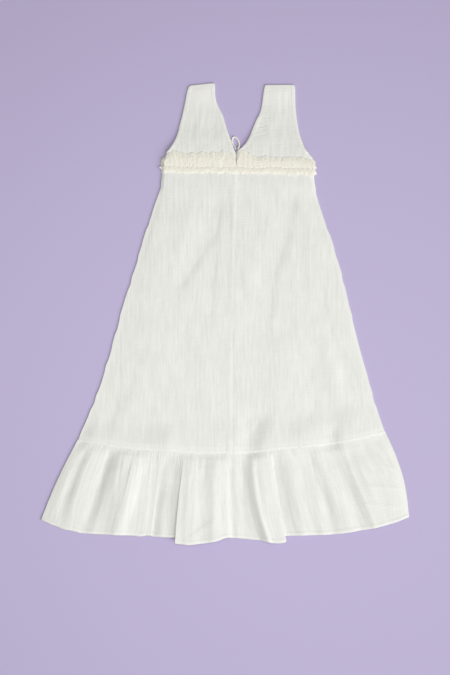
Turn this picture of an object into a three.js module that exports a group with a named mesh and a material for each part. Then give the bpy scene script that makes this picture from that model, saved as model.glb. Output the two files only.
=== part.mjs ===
// A girl's sleeveless muslin dress, laid flat on its front.
//
// The dress lies on the plane z = 0 with +X to the right, +Y towards the shoulders and +Z up.
// Lengths are millimetres, and the origin is on the underside, in the middle of the outline.
// Each cut piece is a closed wall of cloth of its own. The front panels lie on the plane, the
// back panels lie on the front ones, and neighbouring pieces are one seam gap apart.

import * as THREE from 'three';
import { mergeVertices } from 'three/addons/utils/BufferGeometryUtils.js';

const { lerp, smoothstep } = THREE.MathUtils;

// Cloth
const WALL = 1.2;
const FRILL_WALL = 1.0;
const HEM_WALL = 2.0;
const HEM_DEPTH = 8;
const SEAM_GAP = 0.3;

// The waist seam and the gathered strip that is sewn over it, on both sides of the dress
const WAIST_LEFT = { x: -112, y: 257.5 };
const WAIST_RIGHT = { x: 158, y: 254.5 };
const STRIP_PRESSED_HEIGHT = 2.4;
const STRIP_REACH_UP = 32;
const STRIP_REACH_DOWN = 18;
const STRIP_RAMP = 22;
const NECK_SLIT_X = 19.6;
const NECK_SLIT_WIDTH = 1.2;

// Waves of the strip: how many, how high at the stitching and at the free edge
const UPPER_LEFT_WAVES = 15;
const UPPER_RIGHT_WAVES = 16;
const LOWER_WAVES = 34;
const FRONT_UPPER_WAVES = 31;
const WAVE_AT_STITCHING = 0.9;
const WAVE_AT_EDGE = 3.4;
const PRESSED_WAVE = STRIP_PRESSED_HEIGHT - FRILL_WALL;

// Relief of the back
const SKIRT_SWELL = 1.6;
const BODICE_SWELL = 0.9;
const FLOUNCE_SEAM_RISE = 2.5;
const SEAM_RISE_ABOVE = 44;
const SEAM_RISE_BELOW = 14;

// Button loop at the top of the neck slit
const LOOP_DIAMETER = 2.4;
const LOOP_SIDES = 8;
const LOOP_STEPS = 24;

// Back and front bodice, from the waist up: where the armhole edge and the neck edge run
const BODICE_LEFT_EDGES = [
  { y: 257, arm: -108.5, neck: 19 },
  { y: 273, arm: -106, neck: 19 },
  { y: 283.5, arm: -101.5, neck: 17.5 },
  { y: 290.5, arm: -96, neck: 15 },
  { y: 304.5, arm: -87.5, neck: 10.5 },
  { y: 318.5, arm: -82, neck: 5 },
  { y: 332.5, arm: -79, neck: 0.5 },
  { y: 346.5, arm: -75, neck: -3.5 },
  { y: 360.5, arm: -72, neck: -10.5 },
  { y: 374.5, arm: -69, neck: -16 },
  { y: 388.5, arm: -66.5, neck: -17.5 },
  { y: 398, arm: -64, neck: -17.5 },
  { y: 402, arm: -59.5, neck: -20 },
];
const BODICE_RIGHT_EDGES = [
  { y: 254, arm: 156, neck: 20.2 },
  { y: 273, arm: 153, neck: 20.2 },
  { y: 283.5, arm: 144, neck: 22 },
  { y: 290.5, arm: 139, neck: 29.8 },
  { y: 301, arm: 135, neck: 38.5 },
  { y: 311.5, arm: 131, neck: 43.8 },
  { y: 325.5, arm: 128, neck: 49 },
  { y: 339.5, arm: 125.7, neck: 55 },
  { y: 353.5, arm: 124, neck: 61.8 },
  { y: 367.5, arm: 123, neck: 64.8 },
  { y: 381.5, arm: 122.7, neck: 66.5 },
  { y: 395.5, arm: 122.5, neck: 68.8 },
  { y: 401, arm: 120.5, neck: 71 },
];

// Skirt side seams, from the flounce seam up
const SKIRT_EDGES = [
  { y: -223, left: -257.5, right: 284 },
  { y: -208, left: -252.5, right: 280 },
  { y: -168, left: -234.5, right: 266 },
  { y: -126, left: -219, right: 254 },
  { y: -63, left: -199.5, right: 236 },
  { y: 0, left: -182, right: 220.5 },
  { y: 63, left: -163, right: 206 },
  { y: 126, left: -143.5, right: 187 },
  { y: 189, left: -124, right: 166 },
  { y: 234.5, left: -111, right: 156 },
  { y: 258, left: -110, right: 155 },
];

// The seam between skirt and flounce, behind and in front
const BACK_SEAM = [
  { x: -257.5, y: -222.3 },
  { x: -158, y: -235.6 },
  { x: -100, y: -239.5 },
  { x: -25, y: -243 },
  { x: 35, y: -242.5 },
  { x: 90, y: -236.5 },
  { x: 156, y: -231 },
  { x: 210, y: -223.5 },
  { x: 280, y: -208.3 },
];
const FRONT_SEAM = [
  { x: -257.5, y: -222.3 },
  { x: -130, y: -235.5 },
  { x: 10, y: -240 },
  { x: 150, y: -230 },
  { x: 280, y: -208.3 },
];

// Centre back seam of the skirt
const CENTRE_SEAM = [
  { y: -245, x: 13.5 },
  { y: -100, x: 14 },
  { y: 30, x: 15.5 },
  { y: 130, x: 19 },
  { y: 258, x: 24 },
];

// Soft troughs across the back skirt, each from its upper end to its lower end
const SKIRT_TROUGHS = [
  { fromX: -31, fromY: 229, toX: -67, toY: 60, width: 26, depth: 1.1 },
  { fromX: 119, fromY: 222, toX: 66, toY: 37, width: 24, depth: 1.1 },
  { fromX: -84, fromY: 40, toX: -118, toY: -190, width: 30, depth: 0.8 },
  { fromX: 152, fromY: 20, toX: 196, toY: -180, width: 30, depth: 0.8 },
];

// Folds of the back flounce across the dress. z is the height over the front panel, and
// bow is how far the fold's line swings to the right half way down.
const BACK_FOLDS = [
  { name: 'left edge', seamX: -257.5, seamZ: 0, hemX: -322, hemY: -359, hemZ: 0, bow: -3 },
  { name: 'left swell', seamX: -241, seamZ: 1.5, hemX: -299, hemY: -370, hemZ: 3, bow: -8 },
  { name: 'valley a', seamX: -227, seamZ: 0.6, hemX: -275, hemY: -377, hemZ: 1, bow: -12 },
  { name: 'ridge a', seamX: -212, seamZ: 2.5, hemX: -254, hemY: -381.5, hemZ: 4.5, bow: -9 },
  { name: 'valley b', seamX: -199, seamZ: 0.8, hemX: -237, hemY: -383, hemZ: 1.2, bow: -6 },
  { name: 'ridge b', seamX: -187, seamZ: 2.6, hemX: -226, hemY: -384, hemZ: 2, bow: -9 },
  { name: 'valley c', seamX: -168, seamZ: 0.5, hemX: -216, hemY: -385, hemZ: 0.8, bow: -17 },
  { name: 'ridge d', seamX: -150, seamZ: 4, hemX: -196, hemY: -387, hemZ: 9, bow: 3 },
  { name: 'valley e', seamX: -126, seamZ: 0.8, hemX: -151, hemY: -388, hemZ: 1.4, bow: 0 },
  { name: 'ridge e', seamX: -121, seamZ: 1.6, hemX: -143, hemY: -388, hemZ: 3.2, bow: 0 },
  { name: 'valley f', seamX: -115, seamZ: 1, hemX: -135, hemY: -388, hemZ: 1.6, bow: 0 },
  { name: 'ridge f', seamX: -101, seamZ: 3, hemX: -114, hemY: -388.5, hemZ: 6, bow: -2 },
  { name: 'valley g', seamX: -78, seamZ: 0.8, hemX: -92, hemY: -389, hemZ: 0.8, bow: -2 },
  { name: 'under h', seamX: -73, seamZ: 2, hemX: -79, hemY: -391, hemZ: 3.6, bow: -2 },
  { name: 'lip h', seamX: -69, seamZ: 3.4, hemX: -87.5, hemY: -399, hemZ: 7.6, bow: -2 },
  { name: 'top h', seamX: -60, seamZ: 4.4, hemX: -66, hemY: -402.5, hemZ: 9.2, bow: 0 },
  { name: 'valley i', seamX: -34, seamZ: 1, hemX: -31, hemY: -401, hemZ: 2, bow: -2 },
  { name: 'ridge j', seamX: 2, seamZ: 3.5, hemX: 9, hemY: -390.5, hemZ: 6.5, bow: 0 },
  { name: 'valley k', seamX: 42, seamZ: 0.5, hemX: 65, hemY: -396, hemZ: 1, bow: -3.5 },
  { name: 'ridge l', seamX: 50, seamZ: 3.2, hemX: 73, hemY: -398.5, hemZ: 4.6, bow: -4 },
  { name: 'valley m', seamX: 61, seamZ: 1, hemX: 83, hemY: -400.5, hemZ: 1.4, bow: -5 },
  { name: 'top n', seamX: 73, seamZ: 4.4, hemX: 95, hemY: -399.5, hemZ: 9, bow: -2 },
  { name: 'lip n', seamX: 80, seamZ: 3.2, hemX: 107, hemY: -396, hemZ: 7.4, bow: -2 },
  { name: 'under n', seamX: 84, seamZ: 2, hemX: 98.5, hemY: -390, hemZ: 3.6, bow: -2 },
  { name: 'valley o', seamX: 89, seamZ: 0.8, hemX: 113, hemY: -387, hemZ: 1, bow: -2 },
  { name: 'ridge o', seamX: 122, seamZ: 3, hemX: 156, hemY: -387, hemZ: 5.5, bow: 0 },
  { name: 'valley p', seamX: 161, seamZ: 0.8, hemX: 198, hemY: -386, hemZ: 1.2, bow: 0 },
  { name: 'ridge p', seamX: 178, seamZ: 2.8, hemX: 222, hemY: -381.5, hemZ: 5, bow: 2 },
  { name: 'valley q', seamX: 198, seamZ: 0.8, hemX: 248, hemY: -375.5, hemZ: 1.2, bow: 8 },
  { name: 'ridge q', seamX: 216, seamZ: 2.6, hemX: 265, hemY: -372.5, hemZ: 4.5, bow: 8 },
  { name: 'right swell', seamX: 248, seamZ: 1.5, hemX: 299, hemY: -364, hemZ: 3, bow: 8 },
  { name: 'right edge', seamX: 280, seamZ: 0, hemX: 322, hemY: -355.5, hemZ: 0, bow: 6 },
];

// Folds of the front flounce, pressed low under the back ones
const FRONT_FOLDS = [
  { seamX: -226, hemX: -284, halfWidth: 22, height: 1.4 },
  { seamX: -180, hemX: -233, halfWidth: 20, height: 1.8 },
  { seamX: -143, hemX: -190, halfWidth: 20, height: 2.4 },
  { seamX: -99, hemX: -114, halfWidth: 18, height: 2.2 },
  { seamX: -56, hemX: -60, halfWidth: 19, height: 2.4 },
  { seamX: -18, hemX: -20, halfWidth: 15, height: 1.6 },
  { seamX: 12, hemX: 22, halfWidth: 17, height: 2.1 },
  { seamX: 58, hemX: 76, halfWidth: 19, height: 1.8 },
  { seamX: 108, hemX: 137, halfWidth: 20, height: 2.4 },
  { seamX: 146, hemX: 176, halfWidth: 17, height: 1.7 },
  { seamX: 184, hemX: 222, halfWidth: 20, height: 2.0 },
  { seamX: 224, hemX: 270, halfWidth: 19, height: 1.6 },
];
const FRONT_HEM = [
  { x: -320, y: -357 },
  { x: -280, y: -372 },
  { x: -195, y: -383.5 },
  { x: -90, y: -386 },
  { x: 0, y: -387 },
  { x: 80, y: -386 },
  { x: 180, y: -383 },
  { x: 260, y: -370 },
  { x: 320, y: -353.5 },
];

// How far the strip reaches over its stitching, across the dress
const BACK_STRIP_REACH = [
  { x: -114, upper: 13, lower: 12 },
  { x: -104, upper: 20, lower: 12 },
  { x: -92, upper: 26, lower: 11.5 },
  { x: -40, upper: 27, lower: 11 },
  { x: 16, upper: 28, lower: 11 },
  { x: 36, upper: 29, lower: 11 },
  { x: 62, upper: 20, lower: 11.5 },
  { x: 138, upper: 19, lower: 13 },
  { x: 160, upper: 13, lower: 15 },
];
const FRONT_STRIP_REACH = [
  { x: -112, upper: 13, lower: 11 },
  { x: -92, upper: 25, lower: 12 },
  { x: 138, upper: 24, lower: 12 },
  { x: 158, upper: 13, lower: 12 },
];

// Centre line of the button loop, from the left end of the neck slit to the right end
const LOOP_ROUTE = [
  { x: 18.2, y: 288.2, z: 4.6 },
  { x: 17, y: 292, z: 3.1 },
  { x: 14.6, y: 297, z: 1.6 },
  { x: 12.6, y: 302.5, z: 1.25 },
  { x: 12.8, y: 307, z: 1.2 },
  { x: 15.8, y: 309.6, z: 1.2 },
  { x: 19.8, y: 308, z: 1.2 },
  { x: 23.4, y: 302.8, z: 1.25 },
  { x: 25, y: 296.8, z: 1.6 },
  { x: 24.3, y: 292, z: 3.1 },
  { x: 22.4, y: 288.2, z: 4.6 },
];

// Where each wall has its rows of points, from one end of the piece to the other
const BODICE_LEVELS = [0, 0.08, 0.16, 0.21, 0.27, 0.34, 0.42, 0.5, 0.6, 0.7, 0.8, 0.9, 0.96, 1];
const SKIRT_LEVELS = [0, 0.03, 0.055, 0.09, 0.14, 0.22, 0.32, 0.44, 0.56, 0.68, 0.8, 0.88, 0.93, 0.97, 1];
const BACK_FLOUNCE_LEVELS = [0, 0.04, 0.11, 0.22, 0.36, 0.52, 0.68, 0.83, 0.935, 0.95, 1];
const FRONT_FLOUNCE_LEVELS = [0, 0.12, 0.28, 0.48, 0.7, 0.93, 0.95, 1];
const FRILL_LEVELS = [0, 0.5, 1];
const PRESSED_FRILL_LEVELS = [0, 1];

// Value of a column of a table at a place between its rows, on a smooth curve that only
// turns where the rows turn.
function columnAt(rows, along, column, place) {
  const last = rows.length - 1;
  let row = 0;
  while (row < last - 1 && place > rows[row + 1][along]) row += 1;
  const step = (index) => {
    const i = THREE.MathUtils.clamp(index, 0, last - 1);
    return (rows[i + 1][column] - rows[i][column]) / (rows[i + 1][along] - rows[i][along]);
  };
  const width = rows[row + 1][along] - rows[row][along];
  const t = THREE.MathUtils.clamp((place - rows[row][along]) / width, 0, 1);
  const startSlope = sharedSlope(step(row - 1), step(row)) * width;
  const endSlope = sharedSlope(step(row), step(row + 1)) * width;
  return hermite(rows[row][column], startSlope, rows[row + 1][column], endSlope, t);
}

function sharedSlope(before, after) {
  if (before * after <= 0) return 0;
  return (2 * before * after) / (before + after);
}

function hermite(start, startSlope, end, endSlope, t) {
  const rest = 1 - t;
  const ends = start * (1 + 2 * t) * rest * rest + end * (3 - 2 * t) * t * t;
  return ends + startSlope * t * rest * rest - endSlope * t * t * rest;
}

// A closed wall of cloth about the surface place(u, v). u runs across the piece in even
// columns and v along it through the given levels.
function clothWall(columns, levels, place, thickness) {
  const wall = new THREE.BoxGeometry(1, 1, 1, columns, levels.length - 1, 1);
  const points = wall.attributes.position;
  for (let i = 0; i < points.count; i += 1) {
    const u = points.getX(i) + 0.5;
    const v = levels[Math.round((points.getY(i) + 0.5) * (levels.length - 1))];
    const face = points.getZ(i) * thickness(v);
    const point = place(u, v).addScaledVector(surfaceNormal(place, u, v), face);
    points.setXYZ(i, point.x, point.y, point.z);
  }
  wall.deleteAttribute('normal');
  wall.deleteAttribute('uv');
  const closed = mergeVertices(wall, 1e-4);
  closed.computeVertexNormals();
  return closed;
}

function surfaceNormal(place, u, v) {
  const reach = 0.002;
  const across = place(Math.min(u + reach, 1), v).sub(place(Math.max(u - reach, 0), v));
  const along = place(u, Math.min(v + reach, 1)).sub(place(u, Math.max(v - reach, 0)));
  return across.cross(along).normalize();
}

function evenWall() {
  return WALL;
}

function frillWall() {
  return FRILL_WALL;
}

// Stitching line of the strip, which is also the waist seam
function waistY(x) {
  const t = (x - WAIST_LEFT.x) / (WAIST_RIGHT.x - WAIST_LEFT.x);
  return lerp(WAIST_LEFT.y, WAIST_RIGHT.y, t);
}

function backSeamY(x) {
  return columnAt(BACK_SEAM, 'x', 'y', x);
}

function frontSeamY(x) {
  return columnAt(FRONT_SEAM, 'x', 'y', x);
}

// Height of the underside of the front panels over the plane: they pass over the pressed
// strip at the waist and carry low folds in the flounce.
function frontRise(x, y) {
  const above = y - waistY(x);
  const fromBelow = smoothstep(above, -STRIP_REACH_DOWN - STRIP_RAMP, -STRIP_REACH_DOWN);
  const fromAbove = 1 - smoothstep(above, STRIP_REACH_UP, STRIP_REACH_UP + STRIP_RAMP);
  const overStrip = (STRIP_PRESSED_HEIGHT + SEAM_GAP) * fromBelow * fromAbove;
  return overStrip + frontFoldHeight(x, y);
}

function frontFoldHeight(x, y) {
  const top = frontSeamY(x);
  const down = (top - y) / (top - columnAt(FRONT_HEM, 'x', 'y', x));
  if (down <= 0) return 0;
  let height = 0;
  for (const fold of FRONT_FOLDS) {
    const middle = lerp(fold.seamX, fold.hemX, Math.min(down, 1));
    const away = Math.abs(x - middle) / fold.halfWidth;
    if (away < 1) height += fold.height * Math.cos((away * Math.PI) / 2) ** 2;
  }
  return height * smoothstep(down, 0, 0.3);
}

// Height of the middle of a back panel's wall where it lies straight on the front panel
function backMiddle(x, y) {
  return frontRise(x, y) + WALL + SEAM_GAP + WALL / 2;
}

// The turned allowances of the flounce seam lift the back over it
function flounceSeamRise(x, y, fromSide) {
  const above = y - backSeamY(x);
  const slope = above > 0
    ? 1 - smoothstep(above, 0, SEAM_RISE_ABOVE)
    : 1 - smoothstep(-above, 0, SEAM_RISE_BELOW);
  return FLOUNCE_SEAM_RISE * slope * smoothstep(fromSide, 0, 0.05);
}

function troughDepth(x, y) {
  let depth = 0;
  for (const trough of SKIRT_TROUGHS) {
    const t = (y - trough.fromY) / (trough.toY - trough.fromY);
    const away = (x - lerp(trough.fromX, trough.toX, t)) / trough.width;
    const ends = smoothstep(t, -0.15, 0.25) * (1 - smoothstep(t, 0.7, 1.15));
    depth += trough.depth * ends * Math.exp(-away * away);
  }
  return depth;
}

// The strip holds the cloth down, and relief grows from its edge
function clearOfStrip(distance) {
  return smoothstep(distance, 0, STRIP_RAMP);
}

function skirtRelief(x, y, across) {
  const fromSide = Math.min(across, 1 - across);
  const swell = SKIRT_SWELL * smoothstep(fromSide, 0, 0.12);
  const relief = Math.max(swell - troughDepth(x, y), 0);
  return relief * clearOfStrip(waistY(x) - y - STRIP_REACH_DOWN) + flounceSeamRise(x, y, fromSide);
}

// A point of the whole skirt: across from the left side to the right, down from the waist
function skirtPlan(across, down, seamLine) {
  const leftY = lerp(waistY(SKIRT_EDGES.at(-1).left), BACK_SEAM[0].y, down);
  const rightY = lerp(waistY(SKIRT_EDGES.at(-1).right), BACK_SEAM.at(-1).y, down);
  const left = columnAt(SKIRT_EDGES, 'y', 'left', leftY);
  const right = columnAt(SKIRT_EDGES, 'y', 'right', rightY);
  const x = lerp(left, right, across);
  const seamX = lerp(BACK_SEAM[0].x, BACK_SEAM.at(-1).x, across);
  const top = waistY(x) - SEAM_GAP / 2;
  const bottom = seamLine(seamX) + SEAM_GAP / 2;
  return { x, y: lerp(top, bottom, down) };
}

function frontSkirt() {
  const place = (u, v) => {
    const { x, y } = skirtPlan(u, v, frontSeamY);
    return new THREE.Vector3(x, y, frontRise(x, y) + WALL / 2);
  };
  return clothWall(14, SKIRT_LEVELS, place, evenWall);
}

// Share of the skirt's width at which the centre back seam runs
function centreShare(down) {
  const left = skirtPlan(0, down, backSeamY);
  const right = skirtPlan(1, down, backSeamY);
  const centreX = columnAt(CENTRE_SEAM, 'y', 'x', skirtPlan(0.5, down, backSeamY).y);
  return (centreX - left.x) / (right.x - left.x);
}

function backSkirt(isLeft) {
  const place = (u, v) => {
    const centre = centreShare(v);
    const width = skirtPlan(1, v, backSeamY).x - skirtPlan(0, v, backSeamY).x;
    const halfGap = SEAM_GAP / 2 / width;
    const across = isLeft ? lerp(0, centre - halfGap, u) : lerp(centre + halfGap, 1, u);
    const { x, y } = skirtPlan(across, v, backSeamY);
    return new THREE.Vector3(x, y, backMiddle(x, y) + skirtRelief(x, y, across));
  };
  return clothWall(14, SKIRT_LEVELS, place, evenWall);
}

// Half of the bodice: u runs from the left to the right, v from the waist to the shoulder
function bodice(edges, isBack, columns) {
  const armIsLeft = edges[0].arm < edges[0].neck;
  const place = (u, v) => {
    const across = armIsLeft ? u : 1 - u;
    const bottom = waistY(edges[0].arm) + SEAM_GAP / 2;
    const level = lerp(bottom, edges.at(-1).y, v);
    const arm = columnAt(edges, 'y', 'arm', level);
    const neck = columnAt(edges, 'y', 'neck', level);
    const x = lerp(arm, neck, across);
    const y = level + (waistY(x) - waistY(edges[0].arm)) * (1 - v);
    const fromEnds = clearOfStrip(y - waistY(x) - STRIP_REACH_UP) * smoothstep(1 - v, 0, 0.1);
    const swell = BODICE_SWELL * Math.sin(Math.PI * across) * fromEnds;
    const z = isBack ? backMiddle(x, y) + swell : frontRise(x, y) + WALL / 2;
    return new THREE.Vector3(x, y, z);
  };
  return clothWall(columns, BODICE_LEVELS, place, evenWall);
}

// The back flounce: u runs through the rows of the fold table, v from the seam to the hem
function backFlounce() {
  const folds = BACK_FOLDS.map((fold, order) => ({ ...fold, order }));
  const lastFold = folds.length - 1;
  const columnsPerFold = 3;
  const place = (u, v) => {
    const at = (column) => columnAt(folds, 'order', column, u * lastFold);
    const seamX = at('seamX');
    const x = lerp(seamX, at('hemX'), v) + at('bow') * Math.sin(Math.PI * v);
    const y = lerp(backSeamY(seamX) - SEAM_GAP / 2, at('hemY'), v);
    const gathered = lerp(0.25, 1, smoothstep(v, 0, 0.14));
    const relief = lerp(at('seamZ'), at('hemZ'), v) * gathered;
    const rise = flounceSeamRise(x, y, Math.min(u, 1 - u));
    return new THREE.Vector3(x, y, backMiddle(x, y) + rise + relief);
  };
  return clothWall(lastFold * columnsPerFold, BACK_FLOUNCE_LEVELS, place, hemmedWall);
}

// The hem is turned twice, so the wall is thicker there
function hemmedWall(down) {
  const flounceLength = 150;
  const hemStart = 1 - HEM_DEPTH / flounceLength;
  return lerp(WALL, HEM_WALL, smoothstep(down, hemStart - 0.012, hemStart));
}

function frontFlounce() {
  const place = (u, v) => {
    const seamX = lerp(FRONT_SEAM[0].x, FRONT_SEAM.at(-1).x, u);
    const hemX = lerp(FRONT_HEM[0].x, FRONT_HEM.at(-1).x, u);
    const x = lerp(seamX, hemX, v);
    const top = frontSeamY(seamX) - SEAM_GAP / 2;
    const y = lerp(top, columnAt(FRONT_HEM, 'x', 'y', hemX), v);
    return new THREE.Vector3(x, y, frontFoldHeight(x, y) + WALL / 2);
  };
  return clothWall(46, FRONT_FLOUNCE_LEVELS, place, evenWall);
}

// A stretch of the gathered strip from its stitching to its free edge. Waves are uneven in
// length and height. direction is 1 for the head and -1 for the frill that falls.
function frill({ fromX, toX, waves, columnsPerWave, levels, direction, reach, column, height }) {
  const place = (u, v) => {
    const turn = u * waves;
    const uneven = 0.16 * Math.sin(turn * 1.7) + 0.11 * Math.sin(turn * 0.61 + 1);
    const ends = Math.sin(Math.PI * u);
    const x = lerp(fromX, toX, (turn + uneven * ends) / waves);
    const wave = 0.5 - 0.5 * Math.cos(2 * Math.PI * turn);
    const tall = 0.86 + 0.14 * Math.sin(turn * 2.3 + 0.7);
    const length = columnAt(reach, 'x', column, x) * (0.96 + 0.05 * wave * tall);
    const y = waistY(x) + direction * (SEAM_GAP / 2 + length * v);
    return new THREE.Vector3(x, y, height(x, y, v, wave * tall));
  };
  return clothWall(Math.round(waves * columnsPerWave), levels, place, frillWall);
}

function raisedHeight(x, y, v, wave) {
  const onBack = frontRise(x, waistY(x)) + 2 * WALL + 2 * SEAM_GAP + FRILL_WALL / 2;
  const lift = 1.2 * smoothstep(v, 0, 0.6);
  return onBack + lift + wave * lerp(WAVE_AT_STITCHING, WAVE_AT_EDGE, v);
}

function pressedHeight(x, y, v, wave) {
  return FRILL_WALL / 2 + wave * PRESSED_WAVE * lerp(0.6, 1, v);
}

function backFrill(fromX, toX, waves, direction) {
  return frill({
    fromX,
    toX,
    waves,
    columnsPerWave: direction > 0 ? 6 : 4,
    levels: FRILL_LEVELS,
    direction,
    reach: BACK_STRIP_REACH,
    column: direction > 0 ? 'upper' : 'lower',
    height: raisedHeight,
  });
}

function frontFrill(waves, direction) {
  return frill({
    fromX: FRONT_STRIP_REACH[0].x,
    toX: FRONT_STRIP_REACH.at(-1).x,
    waves,
    columnsPerWave: 4,
    levels: PRESSED_FRILL_LEVELS,
    direction,
    reach: FRONT_STRIP_REACH,
    column: direction > 0 ? 'upper' : 'lower',
    height: pressedHeight,
  });
}

function buttonLoop() {
  const section = new THREE.Shape();
  for (let side = 0; side < LOOP_SIDES; side += 1) {
    const angle = (2 * Math.PI * (side + 0.5)) / LOOP_SIDES;
    const x = (LOOP_DIAMETER / 2) * Math.cos(angle);
    const y = (LOOP_DIAMETER / 2) * Math.sin(angle);
    if (side === 0) section.moveTo(x, y);
    else section.lineTo(x, y);
  }
  section.closePath();
  const route = new THREE.CatmullRomCurve3(LOOP_ROUTE.map((p) => new THREE.Vector3(p.x, p.y, p.z)));
  const settings = { steps: LOOP_STEPS, extrudePath: route, bevelEnabled: false };
  const tube = new THREE.ExtrudeGeometry(section, settings);
  tube.deleteAttribute('normal');
  tube.deleteAttribute('uv');
  const closed = mergeVertices(tube, 1e-4);
  closed.computeVertexNormals();
  return closed;
}

const muslin = new THREE.MeshStandardMaterial({ color: 0xebeae4, roughness: 0.95, metalness: 0 });
const gatheredMuslin = new THREE.MeshStandardMaterial({ color: 0xece8da, roughness: 0.95, metalness: 0 });

function piece(name, geometry, material) {
  const mesh = new THREE.Mesh(geometry, material);
  mesh.name = name;
  return mesh;
}

const slitLeft = NECK_SLIT_X - NECK_SLIT_WIDTH / 2;
const slitRight = NECK_SLIT_X + NECK_SLIT_WIDTH / 2;
const stripLeft = BACK_STRIP_REACH[0].x;
const stripRight = BACK_STRIP_REACH.at(-1).x;

const dress = new THREE.Group();
dress.add(
  piece('front_frill_upper', frontFrill(FRONT_UPPER_WAVES, 1), gatheredMuslin),
  piece('front_frill_lower', frontFrill(LOWER_WAVES, -1), gatheredMuslin),
  piece('front_bodice_left', bodice(BODICE_LEFT_EDGES, false, 6), muslin),
  piece('front_bodice_right', bodice(BODICE_RIGHT_EDGES, false, 6), muslin),
  piece('front_skirt', frontSkirt(), muslin),
  piece('front_flounce', frontFlounce(), muslin),
  piece('back_bodice_left', bodice(BODICE_LEFT_EDGES, true, 8), muslin),
  piece('back_bodice_right', bodice(BODICE_RIGHT_EDGES, true, 8), muslin),
  piece('back_skirt_left', backSkirt(true), muslin),
  piece('back_skirt_right', backSkirt(false), muslin),
  piece('back_flounce', backFlounce(), muslin),
  piece('back_frill_upper_left', backFrill(stripLeft, slitLeft, UPPER_LEFT_WAVES, 1), gatheredMuslin),
  piece('back_frill_upper_right', backFrill(slitRight, stripRight, UPPER_RIGHT_WAVES, 1), gatheredMuslin),
  piece('back_frill_lower', backFrill(stripLeft, stripRight, LOWER_WAVES, -1), gatheredMuslin),
  piece('button_loop', buttonLoop(), gatheredMuslin),
);

export default dress;
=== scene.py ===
# %% [markdown]
# # A girl's muslin dress, laid flat
# The dress lies on its front on a plain floor, and the camera looks straight down on its back.
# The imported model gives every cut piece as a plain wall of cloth. This lesson lays a fine shell
# of cloth on each of them, with the gathers, creases, turned edges and stitches of real muslin.
# Sizes are written in millimetres, as a maker would, and become metres in the meshes.

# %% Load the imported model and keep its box
import math

import bmesh
import bpy
import numpy as np
from mathutils import Matrix, Vector


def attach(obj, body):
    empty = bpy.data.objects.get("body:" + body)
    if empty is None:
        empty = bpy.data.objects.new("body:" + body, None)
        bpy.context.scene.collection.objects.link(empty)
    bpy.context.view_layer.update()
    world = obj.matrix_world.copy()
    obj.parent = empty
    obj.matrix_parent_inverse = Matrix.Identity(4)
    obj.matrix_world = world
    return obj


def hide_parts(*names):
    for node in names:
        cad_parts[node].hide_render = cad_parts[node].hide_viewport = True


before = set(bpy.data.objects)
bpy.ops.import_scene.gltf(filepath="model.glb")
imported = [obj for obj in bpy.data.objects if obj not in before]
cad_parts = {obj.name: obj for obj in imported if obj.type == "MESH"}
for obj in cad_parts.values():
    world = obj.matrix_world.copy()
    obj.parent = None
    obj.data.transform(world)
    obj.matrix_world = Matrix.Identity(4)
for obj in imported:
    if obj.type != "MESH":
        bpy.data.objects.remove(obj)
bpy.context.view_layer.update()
MM = 0.001
print("cut pieces in the model:", len(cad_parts))

# %% [markdown]
# ## The camera
# The photograph looks straight down, so the camera hangs over the dress and has no tilt. One of
# its pixels is 1.75 mm on the floor, and the picture is 675 pixels tall, so the lens is worked
# out from those two numbers and the height of the camera.

# %% Camera
PIXEL = 1.75
PICTURE_HEIGHT = 675 * PIXEL
PICTURE_CENTRE_Y = -41.1
CAMERA_HEIGHT = 2600
SENSOR_HEIGHT = 36

camera_data = bpy.data.cameras.new("overhead_camera")
camera_data.sensor_fit = "VERTICAL"
camera_data.sensor_height = SENSOR_HEIGHT
camera_data.lens = SENSOR_HEIGHT * CAMERA_HEIGHT / PICTURE_HEIGHT
camera = bpy.data.objects.new("overhead_camera", camera_data)
camera.location = (0, PICTURE_CENTRE_Y * MM, CAMERA_HEIGHT * MM)
bpy.context.scene.collection.objects.link(camera)
bpy.context.scene.camera = camera
print("lens:", round(camera_data.lens, 1), "mm")

# %% [markdown]
# ## The button loop
# A thin tube of muslin, sewn into the top of the neck slit, stands out as a small teardrop. It
# is a cord, so it comes first. Its route repeats the route of the model's own tube, and a curve
# with a round bevel follows it. Blender adds the radius of a curve's points to its box, so the
# points carry the tube's radius and the bevel is a circle of 1.

# %% Button loop
LOOP_DIAMETER = 2.8
LOOP_ROUTE = [
    (18.2, 288.2, 4.6), (17, 292, 3.1), (14.6, 297, 1.8), (12.6, 302.5, 1.5), (12.8, 307, 1.45),
    (15.8, 309.6, 1.45), (19.8, 308, 1.45), (23.4, 302.8, 1.5), (25, 296.8, 1.8), (24.3, 292, 3.1),
    (22.4, 288.2, 4.6),
]


def smooth_route(stations, steps):
    """Points on an even curve through the stations, steps of them between each pair."""
    points = [Vector(station) for station in stations]
    route = []
    for i in range(len(points) - 1):
        before = points[max(i - 1, 0)]
        start, end = points[i], points[i + 1]
        after = points[min(i + 2, len(points) - 1)]
        for step in range(steps):
            t = step / steps
            bend = 2 * before - 5 * start + 4 * end - after
            twist = 3 * start - before - 3 * end + after
            route.append(0.5 * (2 * start + (end - before) * t + bend * t * t + twist * t ** 3))
    route.append(points[-1])
    return route


def route_length(route):
    return sum((b - a).length for a, b in zip(route, route[1:]))


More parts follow.
